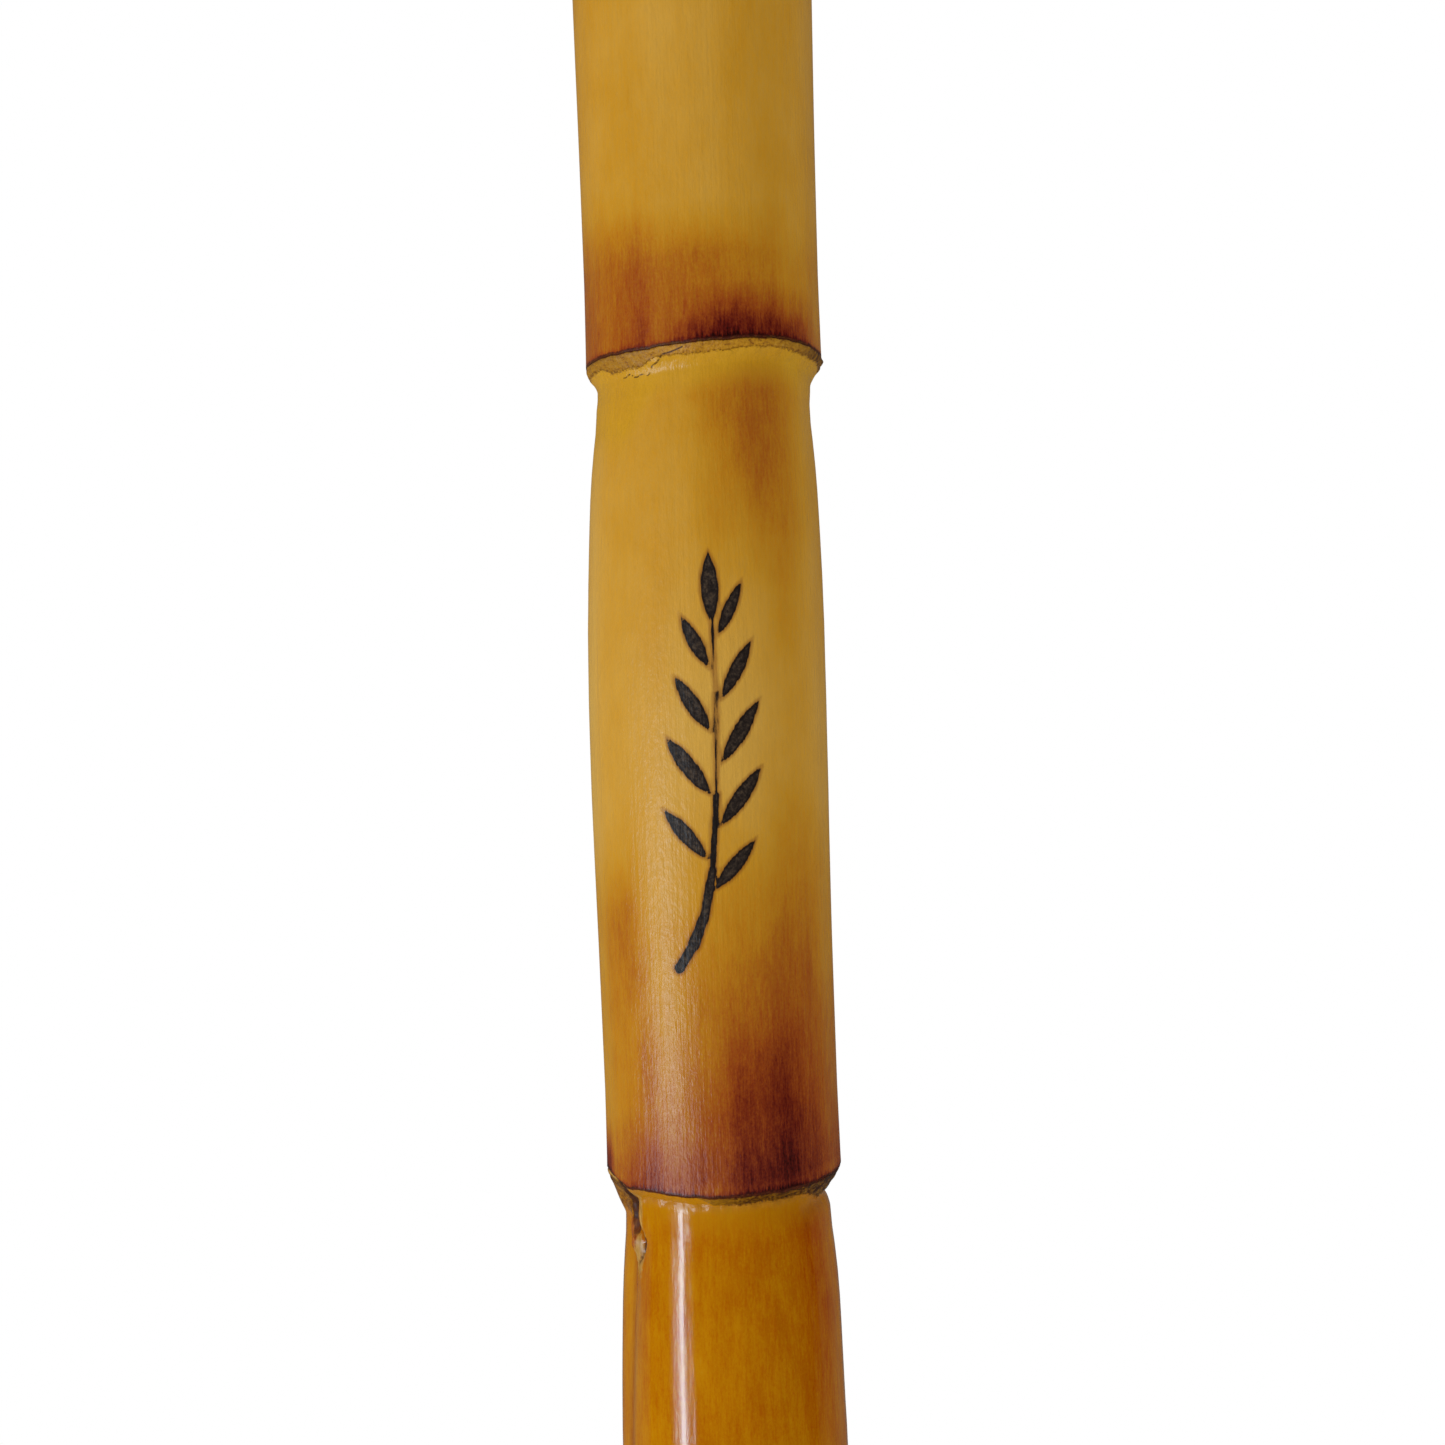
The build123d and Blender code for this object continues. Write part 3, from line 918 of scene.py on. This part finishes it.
def scar_skin(g, skin, grain, speck):
    """The bare scar under each rim: ochre, with dark ticks, pale flakes and a dark line over it,
    browned by its stain and by painted shadow under the lip.
    """
    ragged = g.ragged("scar_share", speck, 0.14)
    scar = g.times(g.step(ragged, 1.08, 0.92), g.step(g.attribute("rim"), 0.0, -0.1))
    bare_grain = g.noise((2.2, 2.2, 3.4), detail=4.0, roughness=0.7)
    ticks = g.noise((2.6, 2.6, 0.9), detail=1.0)
    colour_share = g.linear(g.spread(ticks, -0.5, 0.5), 0.16, bare_grain)
    # Painted shadow: the scar darkens towards its rim, under the lip, on top of its stain.
    shaded = g.linear(g.step(g.attribute("scar_share"), 0.45, 0.0), 0.35, g.attribute("stain"))
    stain_and_shadow_amount = g.times(shaded, g.spread(ticks, 0.35, 1.5), clamp=True)
    skin = g.mix(scar, skin, g.mix(stain_and_shadow_amount, g.ramp(colour_share, SCAR_COLOURS), colour("4a2403")))
    lower_edge = g.step(g.math("ABSOLUTE", g.minus(ragged, 1.0)), 0.16, 0.02)
    lower_edge = g.times(lower_edge, g.step(grain, 0.35, 0.6))
    return g.mix(g.times(lower_edge, 0.75), skin, colour("6a3c06")), scar


def rim_line(g, skin, speck):
    """The dark line burnt along each rim, with a soft and broken upper edge."""
    rim = g.ragged("rim", speck, 0.10)
    line = g.times(g.step(rim, -0.27, -0.14), g.step(rim, 0.26, 0.06))
    line = g.times(line, g.attribute("by_rim"))
    burnt = g.ramp(speck, [(0.4, "3c0b01"), (0.7, "6a2604")])
    return g.mix(g.times(line, g.spread(speck, 0.8, 1.0)), skin, burnt), line


def bud_colours(g, skin, speck, fibre):
    """The furrow's stain, the black crevice with painted shadow over its hollow, the red bud and the
    straw flake beside it.
    """
    furrow = g.times(g.attribute("furrow"), g.spread(fibre, 0.2, 0.8))
    skin = g.mix(furrow, skin, colour("8a3c0a"))
    # The crevice mask also darkens the hollow beside it, as painted shadow.
    crevice = g.step(g.ragged("crevice", speck, 0.2), 0.25, 0.8)
    skin = g.mix(g.times(crevice, 0.95), skin, g.ramp(speck, [(0.4, "300c02"), (0.75, "5c2606")]))
    for name, reach, low, hidden, stops in (
        ("flake", 0.15, 0.35, -0.8, [(0.3, "a07226"), (0.7, "cda050")]),
        ("bud", 0.12, 0.30, -0.7, [(0.3, "7c2f06"), (0.55, "b05f14"), (0.72, "cf8c2a")]),
    ):
        mask = g.step(g.ragged(name, speck, reach), low, 0.7)
        mask = g.times(mask, g.linear(crevice, hidden, 1.0))
        skin = g.mix(mask, skin, g.ramp(fibre, stops))
    return skin


def burnt_motif(g, skin, fibre, speck):
    """The sprig drawn with a hot point: black edges, dull charcoal inside, a scorched halo."""
    ink = g.ragged("ink", fibre, 0.09)
    skin = g.mix(g.times(g.step(ink, 0.42, 0.0), 0.55), skin, colour("7e3a10"))
    inside = g.ramp(speck, [(0.32, "1f1611"), (0.5, "33271f"), (0.68, "50402f")])
    charcoal = g.mix(g.step(ink, -0.34, -0.10), inside, colour("221612"))
    return g.mix(g.step(ink, 0.05, -0.07), skin, charcoal)


def reed_material():
    g = new_graph("varnished_reed")
    fibre = g.noise((4.2, 4.2, 0.55), detail=4.0, roughness=0.65)
    grain = g.noise((4.5, 4.5, 3.2), roughness=0.7)
    speck = g.noise((2.4, 2.4, 2.4), roughness=0.7)
    cloud = g.noise((0.24, 0.24, 0.14), roughness=0.55)

    skin = toasted_skin(g, fibre, grain, cloud)
    fresh = g.times(g.attribute("fresh"), g.spread(cloud, 0.70, 1.0))
    skin = g.mix(fresh, skin, g.ramp(cloud, [(0.35, "ca9309"), (0.65, "d19c16")]))
    fine_tone = g.times(g.spread(fibre, 0.93, 1.07), g.spread(grain, 0.95, 1.05))
    grey = g.add("CombineColor", {channel: fine_tone for channel in range(3)})
    skin = g.mix(1.0, skin, grey.outputs[0], "MULTIPLY")
    skin, scar = scar_skin(g, skin, grain, speck)
    crack = g.step(g.ragged("crack", speck, 0.02), 0.115, 0.035)
    skin = g.mix(g.times(crack, 0.85), skin, colour("3c1602"))
    skin = bud_colours(g, skin, speck, fibre)
    skin, line = rim_line(g, skin, speck)
    skin = burnt_motif(g, skin, fibre, speck)

    bare = g.attribute("bare")
    toast = g.attribute("toast")
    pith = g.ramp(fibre, [(0.3, "b8995e"), (0.7, "d3ba82")])
    burnt_wall = g.mix(g.times(g.step(toast, 0.5, 0.75), 0.8), pith, colour("3a1d0a"))
    skin = g.mix(bare, skin, burnt_wall)
    gloss = g.attribute("gloss")
    dull = g.step(g.attribute("ink"), 0.05, -0.07)
    for mask in (scar, bare, line, *map(g.attribute, ("crevice", "bud", "flake"))):
        dull = g.larger(dull, mask)
    roughness = g.larger(g.linear(gloss, -0.27, 0.34), g.times(dull, 0.44))
    pebble = g.noise((2.6, 2.6, 1.1), roughness=0.6)
    pebbled = g.times(pebble, g.minus(1.0, gloss))
    normal = g.bump(pebbled, 0.10, 0.8)
    long_fibre = g.noise((2.0, 2.0, 0.04), detail=4.0, roughness=0.6)
    normal = g.bump(g.times(long_fibre, g.minus(1.12, gloss)), 0.10, 0.8, normal)
    normal = g.bump(fibre, 0.02, 0.4, normal)
    normal = g.bump(g.times(grain, scar), 0.10, 0.7, normal)
    varnish = {"IOR": 1.5, "Specular_IOR_Level": 0.25}
    return g.surface(Base_Color=skin, Roughness=roughness, Normal=normal, **varnish)


BRASS_COLOURS = [
    (0.0, (0.83, 0.64, 0.31, 1)), (0.45, (0.70, 0.50, 0.22, 1)), (1.0, (0.24, 0.145, 0.06, 1)),
]


def brass_material(node):
    """Lathe-turned brass: fine rings, tarnish that gathers beside the beads, and rubbed crowns."""
    g = new_graph(f"brass_{node}")
    place = g.add("SeparateXYZ", {0: g.millimetres()}).outputs
    radius = g.math("SQRT", g.linear(place[0], place[0], g.times(place[1], place[1])))
    crown = g.step(radius, FERRULE_R[node] + 0.12, FERRULE_R[node] + 0.42)
    cloud = g.noise((0.22, 0.22, 0.3), detail=5.0, roughness=0.62)
    fleck = g.noise((1.7, 1.7, 1.7), detail=4.0, roughness=0.7)
    rings = g.noise((0.12, 0.12, 9.0), roughness=0.7)
    recess = None
    for bead in BEADS[node]:
        gap = g.math("ABSOLUTE", g.minus(place[2], bead))
        beside = g.times(g.step(gap, 1.7, 0.6), g.minus(1.0, crown))
        recess = beside if recess is None else g.larger(recess, beside)
    aged = g.linear(recess, 0.55, g.spread(cloud, -0.05, 0.62))
    spots = g.step(fleck, 0.60, 0.72)
    aged = g.plus(aged, g.times(spots, 0.35))
    aged = g.times(aged, g.linear(crown, -0.85, 1.0), clamp=True)
    tone = g.ramp(aged, BRASS_COLOURS)
    roughness = g.plus(g.linear(aged, 0.20, 0.22), g.spread(rings, -0.05, 0.05))
    normal = g.bump(rings, 0.012, 0.6)
    normal = g.bump(cloud, 0.25, 0.5, normal)
    normal = g.bump(spots, 0.01, 0.6, normal)
    return g.surface(Base_Color=tone, Roughness=roughness, Normal=normal, Metallic=1.0)


def horn_material():
    """Polished black horn: brown streaks along it, faint lathe rings, and a lip dulled by use."""
    g = new_graph("black_horn")
    place = g.add("SeparateXYZ", {0: g.millimetres()}).outputs
    warp = g.noise((0.10, 0.10, 0.06), detail=2.0)
    sway = g.add("CombineXYZ", {0: warp, 1: warp, 2: 0.0}).outputs[0]
    straight = g.millimetres((0.55, 0.55, 0.035))
    bent = g.add("VectorMath", {0: straight, 1: sway}, operation="ADD")
    streak = g.noise(bent.outputs[0], detail=5.0, roughness=0.68)
    hair = g.noise((2.6, 2.6, 0.12), roughness=0.6)
    shade = g.linear(g.spread(hair, -0.5, 0.5), 0.16, streak)
    skin = g.ramp(shade, [(0.42, "14100e"), (0.56, "1d1713"), (0.66, "2e221a"), (0.78, "4a3526")])
    rings = g.noise((0.10, 0.10, 7.0), detail=2.0)
    scuff = g.noise((0.5, 2.8, 1.1), detail=5.0, roughness=0.75)
    used = g.step(place[2], MOUTH_LOW + 30.0, MOUTH_LOW + 35.0)
    roughness = g.plus(g.spread(rings, 0.15, 0.20), g.times(g.step(scuff, 0.5, 0.7), 0.10))
    roughness = g.linear(used, 0.08, roughness)
    normal = g.bump(rings, 0.008, 0.5)
    normal = g.bump(streak, 0.06, 0.4, normal)
    return g.surface(Base_Color=skin, Roughness=roughness, Normal=normal, IOR=1.55)


def thread_material():
    """Waxed linen thread: cream, fuzzy along its fibres, and darker in the groove between the plies.
    """
    g = new_graph("waxed_thread")
    fibre = g.noise((5.0, 5.0, 9.0), detail=4.0, roughness=0.7)
    stain = g.noise((0.35, 0.35, 0.5))
    tone = g.ramp(g.linear(g.spread(fibre, -0.5, 0.5), 0.3, stain),
                  [(0.25, "b89a62"), (0.5, "d9c393"), (0.75, "ecdcb6")])
    groove = g.step(g.attribute("ply"), 0.55, 0.0)
    tone = g.mix(g.times(groove, 0.6), tone, colour("8a6a34"))
    roughness = g.spread(fibre, 0.45, 0.62)
    normal = g.bump(fibre, 0.05, 0.8)
    return g.surface(Base_Color=tone, Roughness=roughness, Normal=normal, Sheen_Weight=0.15)


def floor_material():
    """Pale matt paper, with a faint mottle."""
    g = new_graph("pale_floor")
    mottle = g.noise((0.004, 0.004, 0.004))
    tone = g.ramp(mottle, [(0.3, "ebe9e6"), (0.7, "f1efec")])
    return g.surface(Base_Color=tone, Roughness=0.9, Specular_IOR_Level=0.2)


def wear(obj, material):
    """Gives every face of a piece one material."""
    obj.data.materials.clear()
    obj.data.materials.append(material)


def make_winding():
    """The thread on the tenon: turns laid side by side, each a thread of two twisted plies."""
    length = 2 * pi * WINDING_MIDDLE_R * THREAD_TURNS
    steps = int(length / PLY_TWIST * RINGS_PER_TWIST)
    share = np.linspace(0.0, 1.0, steps)
    angle = 2 * pi * THREAD_TURNS * share
    climb = WINDING_HIGH - WINDING_LOW - 2 * (THREAD_R + THREAD_GAP)
    height = WINDING_LOW + THREAD_R + THREAD_GAP + climb * share
    centre = ring(WINDING_MIDDLE_R, angle, height)
    out = ring(1.0, angle, 0.0)
    up = np.array([0.0, 0.0, 1.0])
    points, plies = [], []
    for side in range(THREAD_SIDES):
        turn = 2 * pi * side / THREAD_SIDES
        lobe = 0.5 + 0.5 * np.cos(2 * (turn - pi * WINDING_MIDDLE_R * angle / PLY_TWIST))
        reach = THREAD_R * (0.80 + 0.19 * lobe)[:, None]
        points.append(centre + reach * (cos(turn) * out + sin(turn) * up))
        plies.append(lobe)
    grid = np.stack(points, 1)
    outward = [face[::-1] for face in capped_faces(steps, THREAD_SIDES)]
    winding = new_object("winding_thread", grid.reshape(-1, 3), outward)
    winding.data.shade_smooth()
    store(winding.data, "ply", np.stack(plies, 1).reshape(-1))
    return winding


reed = make_reed()
paint_reed(reed)
wear(reed, reed_material())
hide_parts("reed")
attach(reed, "flute")

winding = make_winding()
wear(winding, thread_material())
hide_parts("tenon_winding")
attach(winding, "winding")

for ferrule in FERRULE_R:
    wear(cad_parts[ferrule], brass_material(ferrule))
wear(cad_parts["mouthpiece"], horn_material())


def make_floor():
    points, faces = lathe([(FLOOR_R, -FLOOR_THICKNESS), (FLOOR_R, 0.0)], 128)
    floor = new_object("floor", points, faces)
    wear(floor, floor_material())
    floor.visible_glossy = False
    return floor


floor = make_floor()


# ---------------------------------------------------------------- camera and light
def aim_camera():
    """Level with the seventh internode, close in front of it, rolled a little with the hand."""
    place = Vector(CAMERA_PLACE) * MM
    ahead = Vector(CAMERA_TARGET) * MM - place
    level = ahead.to_track_quat("-Z", "Y").to_matrix().to_4x4()
    roll = Matrix.Rotation(-radians(CAMERA_ROLL), 4, "Z")
    camera = bpy.data.objects.new("camera", bpy.data.cameras.new("camera"))
    camera.data.lens = CAMERA_LENS
    camera.data.clip_start = 0.01
    camera.matrix_world = Matrix.Translation(place) @ level @ roll
    scene.collection.objects.link(camera)
    scene.camera = camera


def area_light(name, azimuth, distance, height, size, power, aim_height, only,
               shines=("diffuse", "glossy"), tint=(1, 1, 1)):
    """A softbox that lights one collection only. Its lengths are metres, and its azimuth grows
    from 0 in front of the reed towards +X.
    """
    a = radians(azimuth)
    place = Vector((sin(a) * distance, -cos(a) * distance, height))
    light = bpy.data.lights.new(name, "AREA")
    light.shape = "RECTANGLE"
    light.size, light.size_y = size
    light.energy = power
    light.color = tint
    lamp = bpy.data.objects.new(name, light)
    lamp.location = place
    lamp.rotation_mode = "QUATERNION"
    lamp.rotation_quaternion = (Vector((0, 0, aim_height)) - place).to_track_quat("-Z", "Y")
    lamp.visible_camera = False
    lamp.visible_diffuse = "diffuse" in shines
    lamp.visible_glossy = "glossy" in shines
    lamp.light_linking.receiver_collection = only
    scene.collection.objects.link(lamp)


def lit_group(name, objects):
    """A collection for lights that must reach only some of the pieces."""
    group = bpy.data.collections.new(name)
    for obj in objects:
        group.objects.link(obj)
    return group


def reed_lights():
    """Three softboxes on the front left that only the reed sees: one shades it, two shine on it."""
    only = lit_group("reed_only", [reed])
    for name, azimuth, width, power, shine, tint in (
        ("key", -59, 0.15, 1.9, "diffuse", (1, 1, 1)),
        ("key_streak", -50.7, 0.14, 5.4, "glossy", (0.62, 0.82, 1.0)),
        ("key_wide", -55, 0.21, 0.45, "glossy", (0.95, 0.97, 1.0)),
    ):
        area_light(name, azimuth, 0.75, 0.235, (width, 0.41), power, 0.34, only, (shine,), tint)


def fitting_lights():
    """Softboxes that only the metal and horn fittings see, so that they have something to reflect."""
    pieces = [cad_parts[name] for name in (*FERRULE_R, "mouthpiece")]
    only = lit_group("fittings", pieces + [winding])
    for name, azimuth, distance, height, size, power, aim_height in (
        ("fitting_left", -62, 0.7, 0.36, (0.22, 1.1), 6.0, 0.36),
        ("fitting_right", 48, 0.8, 0.45, (0.10, 0.9), 1.6, 0.40),
        ("fitting_rear", 160, 0.8, 0.45, (0.45, 0.9), 6.0, 0.40),
        ("fitting_rear_left", -140, 0.8, 0.45, (0.16, 0.9), 2.0, 0.40),
        ("fitting_top", -30, 0.12, 1.35, (0.5, 0.5), 4.0, 0.72),
    ):
        area_light(name, azimuth, distance, height, size, power, aim_height, only)
    area_light("fitting_floor", 0, 0.0, 0.001, (2.0, 2.0), 5.6, 0.72, only, ("glossy",))


aim_camera()
reed_lights()
area_light("floor_top", -30, 0.35, 1.9, (1.2, 1.2), 12.0, 0.0, lit_group("floor_only", [floor]))
fitting_lights()


def studio_world():
    """White to the camera, soft white for shading, and a dark room with a bright rear for gloss."""
    world = bpy.data.worlds.new("studio")
    world.cycles.sampling_method = "NONE"  # each ray type then sees its own strength
    scene.world = world
    g = Graph(world)
    ray = g.add("LightPath").outputs
    towards = g.add("TexCoord").outputs["Generated"]
    direction = g.add("SeparateXYZ", {0: towards}).outputs
    rear = g.step(direction["Y"], 0.10, 0.24, GLOSS_FRONT, GLOSS_REAR)
    side = g.step(direction["X"], -0.6, 0.5, AMBIENT_LEFT, AMBIENT_RIGHT)
    unseen = g.choose(ray["Is Glossy Ray"], side, rear)
    strength = g.choose(ray["Is Camera Ray"], unseen, 1.0)
    background = g.add("Background", {"Color": (1, 1, 1, 1), "Strength": strength})
    g.add("OutputWorld", {0: background.outputs[0]})


studio_world()
scene.view_settings.view_transform = "Standard"
